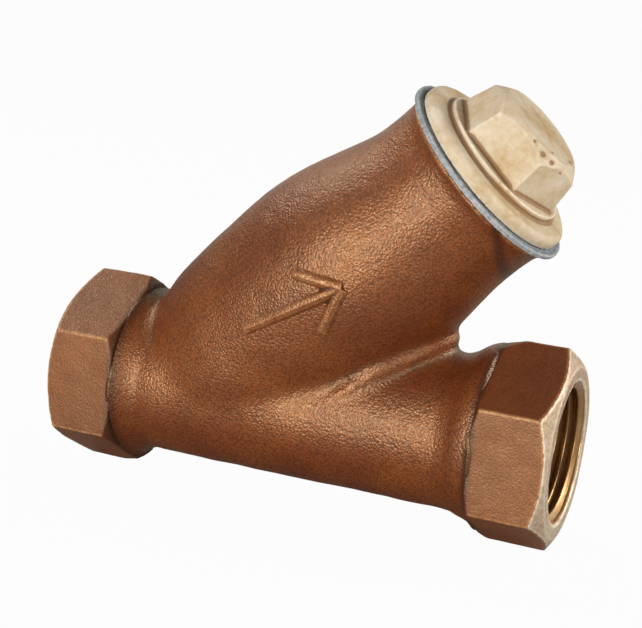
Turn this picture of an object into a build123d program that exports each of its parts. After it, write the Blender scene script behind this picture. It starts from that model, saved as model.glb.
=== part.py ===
from build123d import *
from math import cos, pi, radians, sin, sqrt
import os

os.makedirs("parts", exist_ok=True)

# A bronze y-strainer with screwed ends, in millimetres.
# The run lies along X, from the inlet face at the origin to the outlet face.
# The branch leans towards the outlet in the XZ plane, and holds the screen under its cap.

# The run: a straight pipe line with a hexagon at each end.
run_length = 101.0
run_radius = 14.8
hex_across_flats = 34.1
hex_length = 14.3
hex_face_radius = 16.1
hex_chamfer_length = 2.1
hex_back_chamfer = 1.0
hex_back_radius = 18.0
crown_length = 4.5
crown_drop = 1.7
neck_radius = 17.8
neck_length = 3.9

# The outlet's neck flares further along its upper side, up to the hexagon's corners.
saddle_length = 7.3
saddle_rise = 1.4
saddle_radius = 16.9

# The pipe threads, as plain walls at the thread's root, and the passages behind them.
pipe_thread_radius = 13.22
pipe_thread_length = 13.6
thread_runout = 1.6
passage_radius = 11.3

# The branch: where it leaves the run, how it leans, and how far it reaches.
branch_start = 30.6
branch_angle = 45.0
branch_length = 69.5
branch_radius = 17.85
mouth_lip_radius = 19.1
mouth_lip_flare = 2.8
mouth_lip_root = 0.6
mouth_lip_angle = 20.0

# The belly below the branch's neck, as ellipses across the branch that grow a shoulder on
# the inlet side: height above the run's axis, reach to the inlet, reach to the outlet, half width.
# The upper ones keep their distance from the mouth.
belly_height = branch_length - 24.5
belly_sections = [
    (-6.0, 18.0, 12.2, 13.7),
    (6.0, 21.8, 15.0, 16.7),
    (17.5, 23.1, 17.2, 18.7),
    (29.0, 23.4, 18.8, 19.8),
    (belly_height, 21.7, 19.3, 20.0),
    (branch_length - 14.5, 18.9, 17.9, 18.4),
    (branch_length - 8.5, 17.9, 17.4, 17.6),
]
crotch_fillet = 3.0

# The screen chamber, its seat and the wall that parts inlet from outlet.
chamber_radius = 16.9
chamber_corner = 3.0
chamber_top_gap = 16.0
seat_height = 10.0
seat_depth = 2.5
seat_wall = 2.5
seat_bore_radius = 9.8
inlet_dome_length = 8.5
inlet_dome_radius = 3.5
inlet_pocket_radius = 12.4
inlet_pocket_shift = 5.4
inlet_pocket_depth = 2.0
bridge_wall = 3.0

# The cap's thread in the branch mouth, as a plain running fit at its crest.
cap_thread_radius = 15.0
cap_thread_clearance = 0.05
mouth_chamfer = 0.8

# The gasket between the mouth and the cap's flange.
gasket_thickness = 1.0
gasket_radius = 19.5
gasket_play = 0.3

# The cap: hollow shank, round flange, collar and a tapered hexagon head.
shank_length = 12.5
shank_chamfer = 0.8
flange_radius = 18.0
flange_thickness = 2.5
flange_edge = 1.3
collar_radius = 13.8
collar_height = 1.3
head_corner_radius = 12.9
head_height = 8.4
head_draft = 11.0
head_chamfer_height = 2.2
head_top_radius = 8.8
cap_hollow_radius = 8.2
cap_hollow_height = 3.6

# The screen: perforated sheet, rolled to a tube with a lapped seam.
screen_radius = 11.5
screen_sheet = 0.7
screen_play = 0.3
screen_end_play = 0.3
screen_lap_angle = 24.0
hole_width = 2.8
hole_pitch = 5.2
hole_margin = 3.4

# Places that follow from those sizes.
lean = radians(branch_angle)
branch_way = Vector(cos(lean), 0, sin(lean))
branch_side = Vector(sin(lean), 0, -cos(lean))
branch_root = Vector(branch_start, 0, 0)
branch_axis = Axis(branch_root, branch_way)
branch_section = Plane(branch_root, x_dir=branch_side, z_dir=branch_side.cross(branch_way))

gasket_face = branch_length + gasket_thickness
flange_top = gasket_face + flange_thickness
collar_top = flange_top + collar_height
head_top = collar_top + head_height
seat_top = seat_height + seat_depth
seat_radius = screen_radius + screen_play
partition_side = seat_radius + seat_wall
shank_radius = cap_thread_radius - cap_thread_clearance
shank_end = gasket_face - shank_length
screen_top = gasket_face - screen_end_play
chamber_top = branch_length - chamber_top_gap
hex_corner_radius = hex_across_flats / sqrt(3)
neck_end = hex_length + neck_length


def across_branch(height):
    """The plane square to the branch axis, at a height above the run's axis."""
    return Plane(branch_root + branch_way * height, x_dir=branch_side, z_dir=branch_way)


# One screwed end, at the inlet: a hexagon turned conical at both edges, with the lowest corner
# sloped off towards the neck.
with BuildPart() as end_form:
    with BuildSketch(Plane.YZ):
        RegularPolygon(hex_corner_radius, 6, rotation=90)
    extrude(amount=hex_length)
    with BuildSketch(Plane.XZ):
        with BuildLine():
            Polyline(
                (0, 0),
                (0, hex_face_radius),
                (hex_chamfer_length, hex_corner_radius),
                (hex_length - hex_back_chamfer, hex_corner_radius),
                (hex_length, hex_back_radius),
                (hex_length, 0),
                close=True,
            )
        make_face()
    revolve(axis=Axis.X, mode=Mode.INTERSECT)
    with BuildSketch(Plane.XZ):
        with BuildLine():
            Polyline(
                (hex_length - crown_length, -hex_corner_radius),
                (hex_length, -hex_corner_radius),
                (hex_length, crown_drop - hex_corner_radius),
                close=True,
            )
        make_face()
    extrude(amount=hex_corner_radius, both=True, mode=Mode.SUBTRACT)
    with BuildSketch(Plane.XZ):
        with BuildLine():
            neck_curve = TangentArc((neck_end, run_radius), (hex_length, neck_radius), tangent=(-1, 0))
            Polyline(neck_curve @ 1, (hex_length, 0), (neck_end, 0), neck_curve @ 0)
        make_face()
    revolve(axis=Axis.X)

# The way in: thread, runout and passage, ended by a domed hollow under the seat.
with BuildPart() as inlet_way:
    with BuildSketch(Plane.XZ):
        with BuildLine():
            dome_start = branch_start - inlet_pocket_depth
            dome_end = dome_start + inlet_dome_length
            dome = TangentArc((dome_start, passage_radius), (dome_end, inlet_dome_radius), tangent=(1, 0))
            Polyline(
                dome @ 1,
                (dome_end, 0),
                (0, 0),
                (0, pipe_thread_radius),
                (pipe_thread_length, pipe_thread_radius),
                (pipe_thread_length + thread_runout, passage_radius),
                dome @ 0,
            )
        make_face()
    revolve(axis=Axis.X)
    with BuildSketch(across_branch(-inlet_pocket_depth)):
        with Locations((-inlet_pocket_shift, 0)):
            Circle(inlet_pocket_radius)
    extrude(amount=inlet_pocket_depth + seat_height - bridge_wall)
    with BuildSketch(across_branch(0)):
        Circle(seat_bore_radius)
    extrude(amount=seat_height)

# The way out: thread, runout and passage, stopped by the slanted partition.
with BuildPart() as outlet_way:
    with BuildSketch(Plane.XZ):
        with BuildLine():
            Polyline(
                (branch_start, 0),
                (branch_start, passage_radius),
                (run_length - pipe_thread_length - thread_runout, passage_radius),
                (run_length - pipe_thread_length, pipe_thread_radius),
                (run_length, pipe_thread_radius),
                (run_length, 0),
                close=True,
            )
        make_face()
    revolve(axis=Axis.X)
    split(bisect_by=Plane(branch_root + branch_side * partition_side, z_dir=branch_side), keep=Keep.TOP)

# The branch's hollow: the screen's seat, the chamber around the screen, and the cap's thread.
with BuildPart() as chamber:
    with BuildSketch(branch_section):
        with BuildLine():
            Polyline(
                (0, seat_height),
                (seat_radius, seat_height),
                (seat_radius, seat_top),
                (partition_side, seat_top),
                (chamber_radius, seat_top + chamber_corner),
                (chamber_radius, belly_height),
                (cap_thread_radius, chamber_top),
                (cap_thread_radius, branch_length - mouth_chamfer),
                (cap_thread_radius + mouth_chamfer, branch_length),
                (0, branch_length),
                close=True,
            )
        make_face()
    revolve(axis=branch_axis)

# The casting. Its outer form comes first, then the hollows.
mouth_section = (branch_length, branch_radius, branch_radius, branch_radius)
with BuildPart() as casting:
    for height, inlet_reach, outlet_reach, half_width in [*belly_sections, mouth_section]:
        with BuildSketch(across_branch(height)):
            with Locations(((outlet_reach - inlet_reach) / 2, 0)):
                Ellipse((outlet_reach + inlet_reach) / 2, half_width)
    loft()
    with BuildSketch(Plane.YZ):
        Circle(run_radius)
    extrude(amount=run_length)
    crotch = casting.edges().filter_by(GeomType.BSPLINE).filter_by_position(
        Axis.X, branch_start - run_radius, branch_start + branch_length * cos(lean)
    ).filter_by_position(Axis.Z, -run_radius, run_radius)
    fillet(crotch, radius=crotch_fillet)
    with Locations(Location((0, 0, 0)), Location((run_length, 0, 0), (0, 180, 0))):
        add(end_form.part)
    with BuildSketch(Plane.YZ.offset(run_length - hex_length - saddle_length)):
        Circle(run_radius)
    with BuildSketch(Plane.YZ.offset(run_length - hex_length)):
        with Locations((0, saddle_rise)):
            Circle(saddle_radius)
    loft()
    with BuildSketch(branch_section):
        with BuildLine():
            lip = TangentArc(
                (branch_radius - mouth_lip_root, branch_length - mouth_lip_flare),
                (mouth_lip_radius, branch_length),
                tangent=(sin(radians(mouth_lip_angle)), cos(radians(mouth_lip_angle))),
            )
            Polyline(lip @ 1, (0, branch_length), (0, branch_length - mouth_lip_flare), lip @ 0)
        make_face()
    revolve(axis=branch_axis)
    add(inlet_way.part, mode=Mode.SUBTRACT)
    add(outlet_way.part, mode=Mode.SUBTRACT)
    add(chamber.part, mode=Mode.SUBTRACT)

# The casting is one piece. Its screwed ends are solids of their own, up to the back of each
# hexagon, so that the collision forms leave the ways through it open. They meet face to face.
end_block = (hex_length + 2, 2 * hex_corner_radius + 2, 2 * hex_corner_radius + 2)
inlet_block_place = (hex_length / 2 - 1, 0, 0)
outlet_block_place = (run_length - hex_length / 2 + 1, 0, 0)
with BuildPart() as body:
    add(casting.part)
    with Locations(inlet_block_place, outlet_block_place):
        Box(*end_block, mode=Mode.SUBTRACT)
body.part.label = "body"
with BuildPart() as inlet_end:
    add(casting.part)
    with Locations(inlet_block_place):
        Box(*end_block, mode=Mode.INTERSECT)
inlet_end.part.label = "inlet_end"
with BuildPart() as outlet_end:
    add(casting.part)
    with Locations(outlet_block_place):
        Box(*end_block, mode=Mode.INTERSECT)
outlet_end.part.label = "outlet_end"

# The gasket: a flat fibre ring, squeezed between the mouth and the cap's flange.
with BuildPart() as gasket:
    with BuildSketch(across_branch(branch_length)):
        Circle(gasket_radius)
        Circle(shank_radius + gasket_play, mode=Mode.SUBTRACT)
    extrude(amount=gasket_thickness)
gasket.part.label = "gasket"

# The cap: the head is drafted as it was cast, then turned to a cone and a flat top.
with BuildPart() as cap:
    with BuildSketch(across_branch(collar_top)):
        RegularPolygon(head_corner_radius, 6)
    extrude(amount=head_height, taper=head_draft)
    with BuildSketch(branch_section):
        with BuildLine():
            cone_foot = head_corner_radius - (head_height - head_chamfer_height) * sin(radians(head_draft))
            Polyline(
                (0, collar_top),
                (head_corner_radius, collar_top),
                (cone_foot, head_top - head_chamfer_height),
                (head_top_radius, head_top),
                (0, head_top),
                close=True,
            )
        make_face()
    revolve(axis=branch_axis, mode=Mode.INTERSECT)
    with BuildSketch(branch_section):
        with BuildLine():
            Polyline(
                (seat_radius, shank_end),
                (shank_radius - shank_chamfer, shank_end),
                (shank_radius, shank_end + shank_chamfer),
                (shank_radius, gasket_face),
                (flange_radius, gasket_face),
                (flange_radius, flange_top),
                (collar_radius, flange_top),
                (collar_radius, collar_top),
                (0, collar_top),
                (0, gasket_face),
                (seat_radius, gasket_face),
                close=True,
            )
        make_face()
    revolve(axis=branch_axis)
    flange_rim = cap.edges().filter_by(GeomType.CIRCLE).group_by(SortBy.RADIUS)[-1]
    fillet(flange_rim.sort_by(branch_axis)[-1], radius=flange_edge)
    with BuildSketch(across_branch(gasket_face)):
        Circle(cap_hollow_radius)
    extrude(amount=cap_hollow_height, mode=Mode.SUBTRACT)
cap.part.label = "cap"

# The screen: one sheet rolled up, its end lapped inside and spot welded.
hole_count = round(2 * pi * screen_radius / hole_pitch)
screen_length = screen_top - seat_height
row_count = int((screen_length - 2 * hole_margin) / hole_pitch) + 1
first_row = seat_height + (screen_length - (row_count - 1) * hole_pitch) / 2
with BuildPart() as screen:
    with BuildSketch(across_branch(seat_height)):
        Circle(screen_radius)
        Circle(screen_radius - screen_sheet, mode=Mode.SUBTRACT)
        with BuildLine():
            lap_outside = CenterArc((0, 0), screen_radius - screen_sheet, 180, screen_lap_angle)
            lap_inside = CenterArc((0, 0), screen_radius - 2 * screen_sheet, 180, screen_lap_angle)
            Line(lap_outside @ 0, lap_inside @ 0)
            Line(lap_outside @ 1, lap_inside @ 1)
        make_face()
    extrude(amount=screen_length)
    for row in range(row_count):
        centre = branch_root + branch_way * (first_row + row * hole_pitch)
        for place in range(1, hole_count):
            turn = 2 * pi * place / hole_count + radians(180 + screen_lap_angle / 2)
            outwards = branch_side * cos(turn) + Vector(0, 1, 0) * sin(turn)
            with BuildSketch(Plane(centre, x_dir=branch_way, z_dir=outwards)):
                Rectangle(hole_width, hole_width)
    extrude(amount=screen_radius + screen_sheet, mode=Mode.SUBTRACT)
screen.part.label = "screen"

for piece in (body, inlet_end, outlet_end, gasket, cap, screen):
    export_step(piece.part, f"parts/{piece.part.label}.step")
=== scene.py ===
# %% [markdown]
# # A bronze y-strainer, step by step
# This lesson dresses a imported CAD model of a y-strainer: a cast bronze body with a hexagon at
# each end, a slanted branch, and a screwed brass cap on a fibre gasket. Each piece stays where
# the CAD model puts it, and gets the skin, the threads and the edges that the real one has.

from math import cos, pi, radians, sin

import bmesh
import bpy
import numpy as np
from mathutils import Euler, Matrix, Vector
from mathutils.bvhtree import BVHTree
from mathutils.kdtree import KDTree


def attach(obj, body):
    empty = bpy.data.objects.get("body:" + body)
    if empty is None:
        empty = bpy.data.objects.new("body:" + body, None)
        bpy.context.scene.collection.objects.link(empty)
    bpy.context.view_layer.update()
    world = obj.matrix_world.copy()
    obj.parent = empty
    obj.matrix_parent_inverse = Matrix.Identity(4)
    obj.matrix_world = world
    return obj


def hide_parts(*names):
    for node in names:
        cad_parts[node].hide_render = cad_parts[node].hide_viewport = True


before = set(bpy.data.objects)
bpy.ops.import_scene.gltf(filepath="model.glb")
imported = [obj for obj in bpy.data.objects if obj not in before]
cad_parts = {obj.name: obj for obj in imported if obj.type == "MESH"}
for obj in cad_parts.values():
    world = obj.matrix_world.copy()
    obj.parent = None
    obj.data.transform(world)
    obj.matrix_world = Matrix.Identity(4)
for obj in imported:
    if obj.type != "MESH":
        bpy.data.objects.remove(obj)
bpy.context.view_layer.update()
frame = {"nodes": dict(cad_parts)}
print("nodes:", ", ".join(frame["nodes"]))

# %% [markdown]
# ## The camera
# The photograph was taken from the front, a little from the right and above, with the camera
# rolled a few degrees. The camera comes first, because each piece is judged through it. Its
# three axes are written as turns about the object: to the side, upwards, and a roll.

# %% Place the camera
MM = 0.001
side_turn, up_turn, roll_turn = radians(20.902), radians(12.6548), radians(5.1507)
backwards = Vector((sin(side_turn) * cos(up_turn), -cos(side_turn) * cos(up_turn), sin(up_turn)))
level_right = Vector((cos(side_turn), sin(side_turn), 0))
level_up = backwards.cross(level_right)
right = level_right * cos(roll_turn) + level_up * sin(roll_turn)
upwards = level_up * cos(roll_turn) - level_right * sin(roll_turn)
looked_at = Vector((50.95, 0, 0)) + right * 0.816 + upwards * 17.497
eye = (looked_at + backwards * 302.09) * MM

bpy.ops.object.camera_add(location=eye)
camera = bpy.context.object
camera.name = "camera"
camera.rotation_euler = Matrix((right, upwards, backwards)).transposed().to_euler()
camera.data.sensor_width = 36
camera.data.lens = 36 * 1548.125 / 642
camera.data.clip_start = 0.01
bpy.context.scene.camera = camera
print("camera at", [round(v, 4) for v in eye], "lens", round(camera.data.lens, 2))

# %% [markdown]
# ## Small tools
# Most pieces start as a merged copy of their CAD node, because the node's own mesh is loose
# triangles and must stay as it is. Every operator acts on what is selected, so one helper
# clears the selection first, and another adds a modifier and applies it at once.

# %% Helpers for selecting, copying and applying
def pick(*pieces):
    bpy.ops.object.select_all(action="DESELECT")
    for piece in pieces:
        piece.select_set(True)
    bpy.context.view_layer.objects.active = pieces[0]


def merged_copy(node, name):
    piece = frame["nodes"][node].copy()
    piece.data = piece.data.copy()
    piece.name = piece.data.name = name
    piece.parent = None
    piece.matrix_world = Matrix()
    bpy.context.collection.objects.link(piece)
    piece.data.materials.clear()
    pick(piece)
    bpy.ops.object.mode_set(mode="EDIT")
    bpy.ops.mesh.select_all(action="SELECT")
    bpy.ops.mesh.remove_doubles(threshold=0.000002)
    bpy.ops.mesh.customdata_custom_splitnormals_clear()
    bpy.ops.object.mode_set(mode="OBJECT")
    return piece


def finish_with(piece, kind, **settings):
    pick(piece)
    modifier = piece.modifiers.new(kind.lower(), kind)
    for name, value in settings.items():
        setattr(modifier, name, value)
    bpy.ops.object.modifier_apply(modifier=modifier.name)


def settle(piece):
    pick(piece)
    bpy.ops.object.transform_apply(location=True, rotation=True, scale=True)


def lay_tube(name, line):
    """A round bar through points in mm, each with its own radius, as a closed mesh."""
    curve = bpy.data.curves.new(name, "CURVE")
    curve.dimensions = "3D"
    curve.bevel_depth = MM
    curve.bevel_resolution = 4
    curve.use_fill_caps = True
    spline = curve.splines.new("NURBS")
    spline.points.add(len(line) - 1)
    for point, (x, y, z, radius) in zip(spline.points, line):
        point.co = (x * MM, y * MM, z * MM, 1)
        point.radius = radius
    spline.order_u = 3
    spline.use_endpoint_u = True
    tube = bpy.data.objects.new(name, curve)
    bpy.context.collection.objects.link(tube)
    pick(tube)
    bpy.ops.object.convert(target="MESH")
    return bpy.context.object


def points_of(piece):
    at = np.empty(len(piece.data.vertices) * 3)
    piece.data.vertices.foreach_get("co", at)
    return at.reshape(-1, 3) / MM


def move_points(piece, at):
    piece.data.vertices.foreach_set("co", (at * MM).ravel())
    piece.data.update()


def weigh_points(piece, name, weights):
    group = piece.vertex_groups.new(name=name)
    for index in np.nonzero(weights > 0.01)[0]:
        group.add([int(index)], float(weights[index]), "REPLACE")
    return group.name


print("helpers ready")

# %% [markdown]
# ## How sharply a skin turns
# A casting is worn pale on its outer edges, and its inner corners are darkened, partly as dirt
# and partly as painted shade. Both follow from how the surface turns, so that is measured once on
# each finished mesh and kept as an attribute that the materials read: above nought on an edge, below nought in a
# corner.

# %% Measure the turn of a surface
def turn_of_skin(piece, spread):
    mesh = piece.data
    at = points_of(piece)
    out = np.empty(len(at) * 3)
    mesh.vertex_normals.foreach_get("vector", out)
    out = out.reshape(-1, 3)
    ends = np.empty(len(mesh.edges) * 2, dtype=np.int64)
    mesh.edges.foreach_get("vertices", ends)
    first, last = ends.reshape(-1, 2).T
    start, stop = np.concatenate((first, last)), np.concatenate((last, first))
    way = at[stop] - at[start]
    bend = -2 * (way * out[start]).sum(axis=1) / np.maximum((way**2).sum(axis=1), 1e-9)
    neighbours = np.maximum(np.bincount(start, minlength=len(at)), 1)
    turn = np.bincount(start, weights=bend, minlength=len(at)) / neighbours
    for _ in range(spread):
        turn = 0.5 * turn + 0.5 * np.bincount(start, weights=turn[stop], minlength=len(at)) / neighbours
    return turn


def keep_turn(piece, spread=3, shaded_grooves=()):
    """Stores the turn. At each groove, a place along the run behind a hexagon, the turn is set to that of a deep
    corner, so the recess gets painted shade.
    """
    turn = turn_of_skin(piece, spread)
    along = points_of(piece)[:, 0]
    for groove in shaded_grooves:
        # Painted shade: near each groove, the turn is pulled to a deep corner's value, so the materials darken the
        # recess behind the hexagon.
        nearness = np.clip(1.5 - np.abs(along - groove), 0, 1)
        turn = turn * (1 - nearness) - 0.3 * nearness
    stored = piece.data.attributes.new("turn", "FLOAT", "POINT")
    stored.data.foreach_set("value", turn.astype(np.float32))
    print(piece.name, "faces", len(piece.data.polygons), "turn", round(float(turn.min()), 2), round(float(turn.max()), 2))


# %% [markdown]
# ## The body's middle
# The real body is one sand casting, so its branch, belly and run flow into each other with soft
# corners, and a bead of metal follows the joint below the branch. The CAD solid has the right
# forms but crisp corners. A voxel remesh turns it, together with the bead, into one even skin,
# and smoothing that acts only in the inner corners rounds them as a mould does.

# %% Sizes of the body
RUN_LENGTH, HEX_LENGTH = 101.0, 14.3
BRANCH_START = 30.6
LEAN = radians(45)
branch_way = Vector((cos(LEAN), 0, sin(LEAN)))
branch_side = Vector((sin(LEAN), 0, -cos(LEAN)))
branch_root = Vector((BRANCH_START, 0, 0))
print("branch leaves the run at", BRANCH_START, "mm")

# %% Copy the middle of the casting, with a sleeve that reaches into each hexagon
middle = merged_copy("body", "body_middle")
at = points_of(middle)
for back, outwards in ((HEX_LENGTH, -1), (RUN_LENGTH - HEX_LENGTH, 1)):
    neck_edge = (np.abs(at[:, 0] - back) < 0.01) & (at[:, 2] < 22)
    at[neck_edge, 0] += outwards * 0.4
move_points(middle, at)
sleeves = []
for centre in (HEX_LENGTH - 0.6, RUN_LENGTH - HEX_LENGTH + 0.6):
    bpy.ops.mesh.primitive_cylinder_add(
        vertices=96, radius=16.5 * MM, depth=3 * MM, end_fill_type="NOTHING",
        location=(centre * MM, 0, 0), rotation=(0, pi / 2, 0),
    )
    sleeve = bpy.context.object
    settle(sleeve)
    finish_with(sleeve, "SOLIDIFY", thickness=2 * MM, offset=-1)
    sleeves.append(sleeve)
print("middle", [round(v, 4) for v in middle.dimensions])

# %% Lay the bead along the joint of branch and run
bead_front = [
    (76.1, -1.2, 17.5, 1.9), (74.0, -5.3, 16.4, 1.9), (71.1, -7.9, 14.7, 1.9),
    (66.9, -10.2, 12.2, 1.8), (63.5, -11.5, 9.4, 1.6), (59.9, -12.8, 6.2, 1.3), (56.0, -13.3, 3.8, 0.9),
]
bead_line = [(x, -y, z, r) for x, y, z, r in reversed(bead_front)] + bead_front
bead = lay_tube("bead", bead_line)
print("bead", len(bead.data.polygons), "faces")

# %% Melt bead and casting into one skin
pick(middle, bead, *sleeves)
bpy.ops.object.join()
finish_with(middle, "REMESH", mode="VOXEL", voxel_size=0.62 * MM)
finish_with(middle, "SMOOTH", factor=0.5, iterations=3)
turn = turn_of_skin(middle, 6)
corners = weigh_points(middle, "corners", np.clip((-turn - 0.02) / 0.05, 0, 1))
finish_with(middle, "SMOOTH", factor=0.5, iterations=22, vertex_group=corners)
at = points_of(middle)
from_axis = np.hypot(at[:, 1], at[:, 2])
for back, way in ((HEX_LENGTH, 1), (RUN_LENGTH - HEX_LENGTH, -1)):
    along_neck = np.clip(way * (at[:, 0] - back) / 5.0, 0, 1)
    swell = 0.45 * np.sin(pi * along_neck) * ((from_axis > 14) & (from_axis < 18.2))
    at[:, 1:] *= (1 + swell / np.maximum(from_axis, 1))[:, None]
move_points(middle, at)
print("middle", len(middle.data.polygons), "faces")

# %% Let the belly grow out of the run without a crease
at = points_of(middle)
from_axis = np.maximum(np.hypot(at[:, 1], at[:, 2]), 1)
sideways = (at[:, 1] / from_axis) ** 2
grown = np.clip((at[:, 0] - 18.0) / 4.0, 0, 1) * np.clip((56.0 - at[:, 0]) / 16.0, 0, 1)
below_belly = np.clip((9.0 - at[:, 2]) / 4.0, 0, 1) * ((from_axis > 14) & (from_axis < 19.5))
at[:, 1:] *= (1 + 0.7 * sideways * grown * below_belly / from_axis)[:, None]
move_points(middle, at)
flank = np.clip((at[:, 0] - 20.0) / 3.0, 0, 1) * np.clip((50.0 - at[:, 0]) / 8.0, 0, 1)
flank *= np.clip((np.abs(at[:, 1]) - 8.0) / 4.0, 0, 1) * np.clip((20.0 - np.abs(at[:, 2] - 2.0)) / 5.0, 0, 1)
flank *= from_axis > 14.5
blended = weigh_points(middle, "blended", flank)
finish_with(middle, "SMOOTH", factor=0.5, iterations=130, vertex_group=blended)
print("flank points", int((flank > 0.01).sum()))

# %% [markdown]
# ## The hexagon ends
# The ends are smaller and sharper than the rest, so they are nodes of their own and get a
# finer remesh. Each meets the middle in the groove behind its hexagon, where the real casting
# has a dark line of shade, which the materials give as painted shade. The mouth of each bore is countersunk before the
# remesh.

# %% Countersink and refine each end
def hexagon_end(node, name, face, inwards):
    end = merged_copy(node, name)
    back = face + inwards * HEX_LENGTH
    at = points_of(end)
    at[np.abs(at[:, 0] - back) < 0.01, 0] += inwards * 0.1
    move_points(end, at)
    bpy.ops.mesh.primitive_cone_add(
        vertices=96, radius1=14.6 * MM, radius2=12.6 * MM, depth=2 * MM,
        location=(face * MM, 0, 0), rotation=(0, inwards * pi / 2, 0),
    )
    reamer = bpy.context.object
    finish_with(end, "BOOLEAN", operation="DIFFERENCE", object=reamer, solver="EXACT")
    bpy.data.objects.remove(reamer)
    finish_with(end, "REMESH", mode="VOXEL", voxel_size=0.34 * MM)
    finish_with(end, "SMOOTH", factor=0.5, iterations=3)
    return end


inlet_end = hexagon_end("inlet_end", "inlet_hexagon", 0.0, 1)
outlet_end = hexagon_end("outlet_end", "outlet_hexagon", RUN_LENGTH, -1)
print("ends", len(inlet_end.data.polygons), len(outlet_end.data.polygons), "faces")

# %% [markdown]
# ## Unevenness of the casting
# A sand mould never gives a true surface. A displace modifier with a soft cloud texture moves
# the skin by about a tenth of a millimetre, which is enough to make the highlights wander.

# %% Let the skins waver
def waver(piece, size, strength, middle_level=0.5):
    clouds = bpy.data.textures.new("clouds", "CLOUDS")
    clouds.noise_scale = size * MM
    clouds.noise_depth = 2
    finish_with(piece, "DISPLACE", texture=clouds, texture_coords="LOCAL",
                strength=strength * MM, mid_level=middle_level)


for piece, size, strength in ((middle, 9, 0.4), (inlet_end, 6, 0.22), (outlet_end, 6, 0.22)):
    waver(piece, size, strength, 0.55)
# The recesses behind the hexagons get painted shade through the stored turn.
keep_turn(middle, shaded_grooves=(HEX_LENGTH, RUN_LENGTH - HEX_LENGTH))
keep_turn(inlet_end, shaded_grooves=(HEX_LENGTH,))
keep_turn(outlet_end, shaded_grooves=(RUN_LENGTH - HEX_LENGTH,))

# %% [markdown]
# ## Screw threads
# The CAD model has plain walls where the real threads are. A thread is one small ridge that
# winds round an axis, so a profile is drawn once and the Screw modifier winds it up. The ridge
# starts with its foot just inside the wall. Where the bore is countersunk, the crest is cut
# back to the same cone, as the reamer leaves it.

# %% Wind a ridge into a thread
def wind_thread(name, profile, pitch, turns, start, axis_turn, origin, steps=72):
    """The profile is (radius, height) in mm about the thread's own Z axis, one ridge high."""
    mesh = bpy.data.meshes.new(name)
    corners = [(radius * MM, 0, (height + start) * MM) for radius, height in profile]
    mesh.from_pydata(corners, [(i, i + 1) for i in range(len(corners) - 1)], [])
    thread = bpy.data.objects.new(name, mesh)
    bpy.context.collection.objects.link(thread)
    finish_with(thread, "SCREW", axis="Z", angle=2 * pi * turns, screw_offset=pitch * turns * MM,
                steps=int(steps * turns), render_steps=int(steps * turns), use_merge_vertices=False)
    thread.rotation_euler = (0, axis_turn, 0)
    thread.location = Vector(origin) * MM
    settle(thread)
    pick(thread)
    bpy.ops.object.mode_set(mode="EDIT")
    bpy.ops.mesh.select_all(action="SELECT")
    bpy.ops.mesh.normals_make_consistent(inside=False)
    bpy.ops.object.mode_set(mode="OBJECT")
    bpy.ops.object.shade_smooth()
    return thread


PIPE_PITCH, PIPE_ROOT, PIPE_CREST = 1.814, 13.22, 12.06
pipe_ridge = [
    (PIPE_ROOT + 0.25, -0.86), (PIPE_ROOT - 0.1, -0.74), (PIPE_CREST + 0.16, -0.24), (PIPE_CREST, -0.1),
    (PIPE_CREST, 0.1), (PIPE_CREST + 0.16, 0.24), (PIPE_ROOT - 0.1, 0.74), (PIPE_ROOT + 0.25, 0.86),
    (PIPE_ROOT + 0.25, -0.86),
]
pipe_threads = []
for name, face, inwards in (("inlet_thread", 0.0, 1), ("outlet_thread", RUN_LENGTH, -1)):
    thread = wind_thread(name, pipe_ridge, PIPE_PITCH, 6.7, 0.95, inwards * pi / 2, (face, 0, 0))
    at = points_of(thread)
    depth = np.abs(at[:, 0] - face)
    radius = np.hypot(at[:, 1], at[:, 2])
    least = np.where(depth < 1.2, 13.5 - 1.6 * depth, 0)
    at[:, 1:] *= (np.maximum(radius, least) / radius)[:, None]
    move_points(thread, at)
    pipe_threads.append(thread)
    print(name, len(thread.data.polygons), "faces")

# %% [markdown]
# ## The cap's thread and its nut thread in the mouth
# The cap's shank is a plain running fit in the solid, so its thread is cut into it here: the
# shank is turned down, and a ridge comes back up to the old size. The mouth gets the mating
# ridge half a pitch further on, so that the two mesh at rest and stay meshed as the cap turns.

# %% Cut the cap's shank down and wind both threads
GASKET_FACE, MOUTH, SHANK_END = 70.5, 69.5, 58.0
CAP_PITCH, SHANK_CREST, SHANK_ROOT = 1.5, 14.9, 14.1


def along_and_out(at):
    """Height along the branch, and the point's offset from the branch's axis."""
    way = np.array(branch_way)
    from_root = at - np.array(branch_root)
    height = from_root @ way
    return height, from_root - height[:, None] * way


cap = merged_copy("cap", "cap_skin")
at = points_of(cap)
height, out = along_and_out(at)
radius = np.linalg.norm(out, axis=1)
shank = (height < GASKET_FACE + 0.01) & (radius > 13.5) & (radius < 15.1)
at[shank] -= out[shank] * ((radius[shank] - np.minimum(radius[shank] - 0.85, SHANK_ROOT)) / radius[shank])[:, None]
move_points(cap, at)
shank_ridge = [
    (SHANK_ROOT - 0.15, -0.52), (SHANK_ROOT + 0.05, -0.42), (SHANK_CREST - 0.05, -0.08),
    (SHANK_CREST - 0.05, 0.08), (SHANK_ROOT + 0.05, 0.42), (SHANK_ROOT - 0.15, 0.52), (SHANK_ROOT - 0.15, -0.52),
]
mouth_ridge = [
    (15.25, -0.62), (14.98, -0.5), (14.24, -0.1), (14.24, 0.1), (14.98, 0.5), (15.25, 0.62), (15.25, -0.62),
]
shank_thread = wind_thread("cap_thread", shank_ridge, CAP_PITCH, 7.0, SHANK_END + 0.9, pi / 4, branch_root)
mouth_thread = wind_thread("mouth_thread", mouth_ridge, CAP_PITCH, 8.5, SHANK_END + 0.9 - 2.5 * CAP_PITCH, pi / 4, branch_root)
print("cap thread", len(shank_thread.data.polygons), "mouth thread", len(mouth_thread.data.polygons), "faces")
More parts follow.
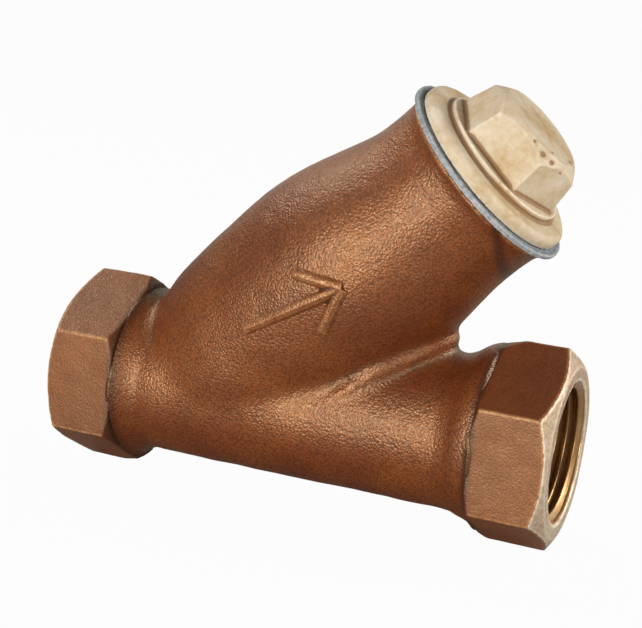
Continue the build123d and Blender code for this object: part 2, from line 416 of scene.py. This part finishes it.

# %% [markdown]
# ## The cap's skin
# The cap is cast and then turned, so its edges are rounded and its head is a little uneven.
# A fine voxel remesh with a few smoothing passes rounds every edge by about a quarter of a
# millimetre. The pits that the casting left on the head's slope are pushed in one by one.

# %% Round the cap and press the casting pits into it
finish_with(cap, "REMESH", mode="VOXEL", voxel_size=0.3 * MM)
finish_with(cap, "SMOOTH", factor=0.5, iterations=2)
waver(cap, 5, 0.08, 0.55)
head_pits = [
    ((91.9, -8.2, 55.0), 1.5, 0.75), ((93.2, -7.0, 53.4), 1.3, 0.6), ((94.6, -4.6, 51.6), 1.1, 0.45),
    ((90.2, -8.9, 57.0), 0.7, 0.35), ((94.5, 0.8, 53.0), 0.6, 0.3), ((92.6, -5.4, 54.9), 0.6, 0.25),
]
at = points_of(cap)
inwards = np.array(Vector((-0.7, 0.45, -0.55)).normalized())
for centre, reach, depth in head_pits:
    away = np.linalg.norm((at - np.array(centre)) * (1, 0.8, 1), axis=1)
    at += inwards * (depth * np.clip(1 - away / reach, 0, 1) ** 1.5)[:, None]
move_points(cap, at)
keep_turn(cap)

# %% [markdown]
# ## The gasket
# The gasket is a ring of pressed fibre, squeezed a little past the flange. It keeps its CAD
# form: a fine voxel remesh with a few smoothing passes rounds its edges a little, and a fine
# displacement makes its cut edge slightly ragged.

# %% Round and roughen the gasket
gasket = merged_copy("gasket", "gasket_ring")
finish_with(gasket, "REMESH", mode="VOXEL", voxel_size=0.2 * MM)
finish_with(gasket, "SMOOTH", factor=0.5, iterations=3)
waver(gasket, 1.6, 0.22, 0.6)
keep_turn(gasket)

# %% [markdown]
# ## The flow arrow
# A strainer works one way round, so founders cast a flow arrow on its body. Its rounded ribs are
# bars, melted together by a remesh, and then laid on the casting: each point of them keeps its
# height above a plane and takes its place from the skin below it.

# %% Lay the ribs of an arrow on the branch
ARROW_PLANE = -30.0
arrow_lines = [
    [(-11, 0, 0, 1.35), (0, 0, 0, 1.35), (10, 0, 0, 1.35)],
    [(3.2, -6, 0, 1.3), (7, -3, 0, 1.35), (10.8, 0, 0, 1.35)],
    [(3.2, 6, 0, 1.3), (7, 3, 0, 1.35), (10.8, 0, 0, 1.35)],
]
ribs = [lay_tube("flow_arrow", line) for line in arrow_lines]
pick(*ribs)
bpy.ops.object.join()
arrow = bpy.context.object
finish_with(arrow, "REMESH", mode="VOXEL", voxel_size=0.22 * MM)
finish_with(arrow, "SMOOTH", factor=0.5, iterations=3)
arrow.rotation_euler = Euler((pi / 2, radians(-30), 0))
arrow.location = Vector((52.0, ARROW_PLANE, 22.5)) * MM
settle(arrow)
skin_tree = BVHTree.FromPolygons([v.co for v in middle.data.vertices], [p.vertices for p in middle.data.polygons])
for vertex in arrow.data.vertices:
    above = ARROW_PLANE * MM - vertex.co.y
    hit = skin_tree.ray_cast(Vector((vertex.co.x, ARROW_PLANE * MM, vertex.co.z)), Vector((0, 1, 0)))[0]
    vertex.co.y = hit.y - above + 0.4 * MM
keep_turn(arrow)

# %% [markdown]
# ## Shader groups
# Two effects serve several metals, so each is a node group. One is the skin of a sand casting:
# a fine grain of about half a millimetre, with larger lumps and blotches of colour. The other
# is wear and shade: it turns the stored turn of the surface into a mask for pale edges and one
# for the inner corners, which are darkened partly as dirt and partly as painted shade.

# %% Helpers for building node trees
def new_group(name, inputs, outputs):
    group = bpy.data.node_groups.new(name, "ShaderNodeTree")
    for title, value in inputs.items():
        group.interface.new_socket(title, in_out="INPUT", socket_type="NodeSocketFloat").default_value = value
    for title in outputs:
        group.interface.new_socket(title, in_out="OUTPUT", socket_type="NodeSocketFloat")
    return group, group.nodes.new("NodeGroupInput"), group.nodes.new("NodeGroupOutput")


def add_node(tree, kind, links=None, **settings):
    node = tree.nodes.new(kind)
    for name, value in settings.items():
        setattr(node, name, value)
    for socket, source in (links or {}).items():
        if isinstance(source, bpy.types.NodeSocket):
            tree.links.new(source, node.inputs[socket])
        else:
            node.inputs[socket].default_value = source
    return node


def calculate(tree, operation, first, second=0.0, clamp=False):
    return add_node(tree, "ShaderNodeMath", {0: first, 1: second}, operation=operation, use_clamp=clamp).outputs[0]


def fade(tree, value, low, high, bottom=0.0, top=1.0):
    node = add_node(tree, "ShaderNodeMapRange", {"Value": value, "From Min": low, "From Max": high,
                                                 "To Min": bottom, "To Max": top})
    return node.outputs["Result"]


def noise(tree, place, scale, detail=3.0, roughness=0.55):
    links = {"Vector": place, "Scale": scale, "Detail": detail, "Roughness": roughness}
    return add_node(tree, "ShaderNodeTexNoise", links).outputs["Fac"]


print("node helpers ready")

# %% The skin of a sand casting
cast_skin, ends_in, ends_out = new_group(
    "cast_skin", {"Grain per metre": 1500.0, "Lump": 0.5, "Blotch per metre": 55.0}, ["Height", "Fine", "Blotch", "Speck"])
place = add_node(cast_skin, "ShaderNodeTexCoord").outputs["Object"]
drops = add_node(cast_skin, "ShaderNodeTexVoronoi", {"Vector": place, "Scale": ends_in.outputs["Grain per metre"],
                                                      "Smoothness": 0.7}, feature="SMOOTH_F1")
peel = calculate(cast_skin, "SUBTRACT", 1.0, drops.outputs["Distance"])
sand = noise(cast_skin, place, calculate(cast_skin, "MULTIPLY", ends_in.outputs["Grain per metre"], 2.6), 1.0)
lumps = noise(cast_skin, place, 330.0, 2.0)
fine = calculate(cast_skin, "ADD", calculate(cast_skin, "MULTIPLY", peel, 0.7), calculate(cast_skin, "MULTIPLY", sand, 0.3))
height_sum = calculate(cast_skin, "ADD", fine, calculate(cast_skin, "MULTIPLY", lumps, ends_in.outputs["Lump"]))
cast_skin.links.new(height_sum, ends_out.inputs["Height"])
cast_skin.links.new(fine, ends_out.inputs["Fine"])
broad = noise(cast_skin, place, ends_in.outputs["Blotch per metre"], 4.0, 0.6)
cast_skin.links.new(fade(cast_skin, broad, 0.32, 0.68), ends_out.inputs["Blotch"])
cast_skin.links.new(fade(cast_skin, noise(cast_skin, place, 900.0, 3.0, 0.7), 0.42, 0.72), ends_out.inputs["Speck"])
print("cast_skin", len(cast_skin.nodes), "nodes")

# %% Wear on edges, and dirt and painted shade in corners
edge_wear, ends_in, ends_out = new_group(
    "edge_wear", {"Edge from": 0.12, "Edge to": 0.5, "Corner from": 0.03, "Corner to": 0.3}, ["Worn", "Dirt and shade"])
turn_value = add_node(edge_wear, "ShaderNodeAttribute", attribute_name="turn").outputs["Fac"]
place = add_node(edge_wear, "ShaderNodeTexCoord").outputs["Object"]
ragged = fade(edge_wear, noise(edge_wear, place, 700.0, 4.0, 0.7), 0.3, 0.62, 0.15, 1.0)
worn = add_node(edge_wear, "ShaderNodeMapRange", {
    "Value": turn_value, "From Min": ends_in.outputs["Edge from"], "From Max": ends_in.outputs["Edge to"]}).outputs["Result"]
edge_wear.links.new(calculate(edge_wear, "MULTIPLY", worn, ragged), ends_out.inputs["Worn"])
# The mask for the inner corners, which darkens them partly as dirt and partly as painted shade.
inward = calculate(edge_wear, "MULTIPLY", turn_value, -1.0)
dirt_and_shade_mask = add_node(edge_wear, "ShaderNodeMapRange", {
    "Value": inward, "From Min": ends_in.outputs["Corner from"], "From Max": ends_in.outputs["Corner to"]}).outputs["Result"]
edge_wear.links.new(dirt_and_shade_mask, ends_out.inputs["Dirt and shade"])
print("edge_wear", len(edge_wear.nodes), "nodes")

# %% [markdown]
# ## The metals
# Old cast bronze is a brown metal with a soft, broad shine. Its colour shifts between a
# dark red brown and a light tan, its inner corners are darkened partly as dirt and partly as
# painted shade, and its edges are rubbed pale. The machined faces, the cut threads and the cap
# share the two groups, each with its own values.

# %% A metal from the two groups
def colour(red, green, blue):
    """A screen colour, 0 to 255, as the linear colour that a shader takes."""
    values = [v / 255 for v in (red, green, blue)]
    return [v / 12.92 if v <= 0.04045 else ((v + 0.055) / 1.055) ** 2.4 for v in values] + [1.0]


def blend_colours(tree, factor, first, second, blend_type="MIX"):
    node = add_node(tree, "ShaderNodeMix", data_type="RGBA", blend_type=blend_type)
    for index, source in ((0, factor), (6, first), (7, second)):
        if isinstance(source, bpy.types.NodeSocket):
            tree.links.new(source, node.inputs[index])
        else:
            node.inputs[index].default_value = source
    return node.outputs[2]


def metal(name, dark, light, worn, dirt_and_shade, rough, smooth, metallic, grain, bump, lump=0.5, pits=0.5,
          wear=(0.12, 0.5), corner=(0.03, 0.3), wear_strength=0.8, dirt_and_shade_strength=0.8, blotch=55.0):
    material = bpy.data.materials.new(name)
    material.use_nodes = True
    tree = material.node_tree
    shader = tree.nodes["Principled BSDF"]
    skin = add_node(tree, "ShaderNodeGroup", node_tree=cast_skin)
    skin.inputs["Grain per metre"].default_value = grain
    skin.inputs["Lump"].default_value = lump
    skin.inputs["Blotch per metre"].default_value = blotch
    edges = add_node(tree, "ShaderNodeGroup", node_tree=edge_wear)
    edges.inputs["Edge from"].default_value, edges.inputs["Edge to"].default_value = wear
    edges.inputs["Corner from"].default_value, edges.inputs["Corner to"].default_value = corner
    base = blend_colours(tree, skin.outputs["Blotch"], colour(*dark), colour(*light))
    base = blend_colours(tree, calculate(tree, "MULTIPLY", skin.outputs["Speck"], 0.35), base, colour(*light))
    # The grain's low places and the inner corners take the dark colour. In the corners, it stands partly for dirt and
    # partly for painted shade.
    low_places = fade(tree, skin.outputs["Fine"], 0.4, 0.6, pits, 0.0)
    base = blend_colours(tree, calculate(tree, "MAXIMUM", low_places,
                                         calculate(tree, "MULTIPLY", edges.outputs["Dirt and shade"], dirt_and_shade_strength)), base, colour(*dirt_and_shade))
    base = blend_colours(tree, calculate(tree, "MULTIPLY", edges.outputs["Worn"], wear_strength), base, colour(*worn))
    tree.links.new(base, shader.inputs["Base Color"])
    tree.links.new(fade(tree, skin.outputs["Speck"], 0.0, 1.0, rough, smooth), shader.inputs["Roughness"])
    shader.inputs["Metallic"].default_value = metallic
    bump_node = add_node(tree, "ShaderNodeBump", {"Strength": bump, "Distance": 0.4 * MM, "Height": skin.outputs["Height"]})
    tree.links.new(bump_node.outputs["Normal"], shader.inputs["Normal"])
    return material


cast_bronze = metal("cast_bronze", dark=(98, 37, 13), light=(126, 64, 24), worn=(196, 140, 88), dirt_and_shade=(52, 16, 7),
                    rough=0.46, smooth=0.34, metallic=0.25, grain=2300.0, bump=0.4, wear_strength=0.35)
dressed_bronze = metal("dressed_bronze", dark=(96, 40, 15), light=(118, 58, 23), worn=(204, 152, 100), dirt_and_shade=(52, 18, 8),
                       rough=0.56, smooth=0.46, metallic=0.2, grain=2600.0, bump=0.2, lump=0.25, wear=(0.2, 0.6),
                       wear_strength=0.45, pits=0.35)
turned_bronze = metal("turned_bronze", dark=(158, 128, 98), light=(192, 174, 148), worn=(226, 210, 184), dirt_and_shade=(120, 82, 48),
                      rough=0.6, smooth=0.46, metallic=0.4, grain=1600.0, bump=0.12, lump=0.2, pits=0.35)
cut_bronze = metal("cut_bronze", dark=(146, 100, 58), light=(188, 148, 98), worn=(236, 210, 166), dirt_and_shade=(56, 30, 14),
                   rough=0.4, smooth=0.28, metallic=0.8, grain=1400.0, bump=0.06, lump=0.1, pits=0.1, wear=(0.3, 1.2),
                   corner=(0.02, 0.2))
cap_brass = metal("cap_brass", dark=(164, 130, 76), light=(198, 184, 160), worn=(232, 222, 204), dirt_and_shade=(122, 80, 32),
                  rough=0.74, smooth=0.56, metallic=0.05, blotch=110.0, wear_strength=0.6, grain=1300.0, bump=0.05, lump=0.5, pits=0.05, wear=(0.3, 1.0),
                  corner=(0.04, 0.25))
for bronze in (cast_bronze, dressed_bronze):
    shader = bronze.node_tree.nodes["Principled BSDF"]
    shader.inputs["IOR"].default_value = 1.8
    shader.inputs["Specular Tint"].default_value = (1.0, 0.84, 0.5, 1.0)
print("metals:", cast_bronze.name, dressed_bronze.name, turned_bronze.name, cut_bronze.name, cap_brass.name)

# %% [markdown]
# ## Fibre and sheet
# The gasket's fibre is a dull blue grey, flecked with lighter threads. The screen is rolled
# from perforated stainless sheet, so its grain runs round it as fine scratches.

# %% Fibre for the gasket
fibre = bpy.data.materials.new("fibre")
fibre.use_nodes = True
tree = fibre.node_tree
place = add_node(tree, "ShaderNodeTexCoord").outputs["Object"]
stretched = add_node(tree, "ShaderNodeMapping", {"Vector": place, "Scale": (1.0, 2.2, 1.0)}).outputs["Vector"]
flecks = fade(tree, noise(tree, stretched, 1400.0, 4.0, 0.7), 0.45, 0.7)
rubbed = add_node(tree, "ShaderNodeGroup", node_tree=edge_wear)
fibre_colour = blend_colours(tree, flecks, colour(92, 98, 104), colour(146, 150, 152))
fibre_colour = blend_colours(tree, calculate(tree, "MULTIPLY", rubbed.outputs["Worn"], 0.6), fibre_colour, colour(186, 184, 178))
tree.links.new(fibre_colour, tree.nodes["Principled BSDF"].inputs["Base Color"])
tree.nodes["Principled BSDF"].inputs["Roughness"].default_value = 0.75
bump_node = add_node(tree, "ShaderNodeBump", {"Strength": 0.6, "Distance": 0.1 * MM, "Height": flecks})
tree.links.new(bump_node.outputs["Normal"], tree.nodes["Principled BSDF"].inputs["Normal"])
print("fibre", len(tree.nodes), "nodes")

# %% Sheet for the screen
sheet = bpy.data.materials.new("stainless_sheet")
sheet.use_nodes = True
tree = sheet.node_tree
place = add_node(tree, "ShaderNodeTexCoord").outputs["Object"]
upright = add_node(tree, "ShaderNodeMapping", {"Vector": place, "Rotation": (0, radians(-45), 0), "Scale": (1.0, 1.0, 14.0)})
scratches = noise(tree, upright.outputs["Vector"], 500.0, 4.0, 0.7)
tree.links.new(blend_colours(tree, scratches, colour(150, 150, 148), colour(200, 200, 196)),
               tree.nodes["Principled BSDF"].inputs["Base Color"])
tree.links.new(fade(tree, scratches, 0.2, 0.8, 0.25, 0.42), tree.nodes["Principled BSDF"].inputs["Roughness"])
tree.nodes["Principled BSDF"].inputs["Metallic"].default_value = 0.95
print("sheet", len(tree.nodes), "nodes")

# %% [markdown]
# ## Give each face its finish
# The hexagon ends carry three finishes on one skin: cast flats, a turned end face, and the cut
# bore. The faces are sorted by where they lie and which way they look.

# %% Sort the faces of the ends
def sort_end_faces(end, face):
    for material in (dressed_bronze, turned_bronze, cut_bronze):
        end.data.materials.append(material)
    for polygon in end.data.polygons:
        x, y, z = (value / MM for value in polygon.center)
        radius = (y * y + z * z) ** 0.5
        depth = abs(x - face)
        if radius < 14.4 and depth > 0.25:
            polygon.material_index = 2
        elif depth < 2.6 and abs(polygon.normal.x) > 0.55:
            polygon.material_index = 1


sort_end_faces(inlet_end, 0.0)
sort_end_faces(outlet_end, RUN_LENGTH)
middle.data.materials.append(cast_bronze)
arrow.data.materials.append(cast_bronze)
for piece in (*pipe_threads, mouth_thread):
    piece.data.materials.append(cut_bronze)
for piece in (cap, shank_thread):
    piece.data.materials.append(cap_brass)
gasket.data.materials.append(fibre)
screen = frame["nodes"]["screen"]
for slot in screen.material_slots:
    slot.material = sheet
print("finishes given")

# %% [markdown]
# ## Who rides with what
# Every piece rides on the body it belongs to, so that the cap, with its thread, turns and lifts
# as the joint says. A piece that stands for a CAD node hides it.

# %% Tie the pieces to their bodies
for piece in (middle, inlet_end, outlet_end, arrow, mouth_thread, *pipe_threads):
    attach(piece, "housing")
for piece in (cap, shank_thread):
    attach(piece, "plug")
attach(gasket, "seal")
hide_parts("body")
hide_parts("inlet_end")
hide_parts("outlet_end")
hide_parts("cap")
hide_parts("gasket")
for piece in (middle, inlet_end, outlet_end, arrow, cap, gasket):
    pick(piece)
    bpy.ops.object.shade_smooth()
print("pieces tied")

# %% [markdown]
# ## Floor, backdrop and light
# A white sweep stands behind the part, as in a product photograph. The sweep shows white to
# the camera and to the metal's reflections, and still takes a soft shadow. One large lamp at
# the front left draws the broad shine on the branch, and a weaker one hangs overhead.

# %% Set the stage
bpy.ops.mesh.primitive_plane_add(size=8, location=(0, 0, -0.0206))
floor = bpy.context.object
floor.name = "floor"
bpy.ops.mesh.primitive_plane_add(size=8, location=(0, 3.9, 0), rotation=(pi / 2, 0, 0))
backdrop = bpy.context.object
backdrop.name = "backdrop"
for stage, share, mirrored in ((floor, 0.965, False), (backdrop, 0.965, True)):
    pale = bpy.data.materials.new("pale_" + stage.name)
    pale.use_nodes = True
    tree = pale.node_tree
    tree.nodes.remove(tree.nodes["Principled BSDF"])
    rays = add_node(tree, "ShaderNodeLightPath")
    seen = rays.outputs["Is Camera Ray"]
    if mirrored:
        seen = calculate(tree, "MAXIMUM", seen, rays.outputs["Is Glossy Ray"])
    paint = add_node(tree, "ShaderNodeBsdfDiffuse", {"Color": (0.4, 0.4, 0.4, 1)})
    glow = add_node(tree, "ShaderNodeEmission", {"Color": (1, 1, 1, 1), "Strength": 1.0})
    mixed = add_node(tree, "ShaderNodeMixShader", {0: calculate(tree, "MULTIPLY", seen, share), 1: paint.outputs[0], 2: glow.outputs[0]})
    tree.links.new(mixed.outputs[0], tree.nodes["Material Output"].inputs["Surface"])
    stage.data.materials.append(pale)

# %% Hang the lamps
def hang_lamp(name, place, width, height, watts):
    bpy.ops.object.light_add(type="AREA", location=place)
    lamp = bpy.context.object
    lamp.name = name
    lamp.data.shape = "RECTANGLE"
    lamp.data.size, lamp.data.size_y = width, height
    lamp.data.energy = watts
    lamp.visible_camera = False
    lamp.rotation_euler = (Vector((0.05, 0, 0.02)) - lamp.location).to_track_quat("-Z", "Y").to_euler()


hang_lamp("front_box", (-0.12, -0.88, 0.09), 0.32, 0.24, 9.0)
hang_lamp("left_panel", (-0.62, 0.15, 0.72), 0.3, 0.3, 4.0)
hang_lamp("back_panel", (0.7, 0.3, 0.3), 0.35, 0.25, 5.0)
hang_lamp("right_strip", (0.75, -0.62, 0.06), 0.16, 0.2, 3.4)
world = bpy.data.worlds.new("studio")
bpy.context.scene.world = world
world.use_nodes = True
world.node_tree.nodes["Background"].inputs["Color"].default_value = (1, 1, 1, 1)
world.node_tree.nodes["Background"].inputs["Strength"].default_value = 0.22
bpy.context.scene.view_settings.view_transform = "Standard"
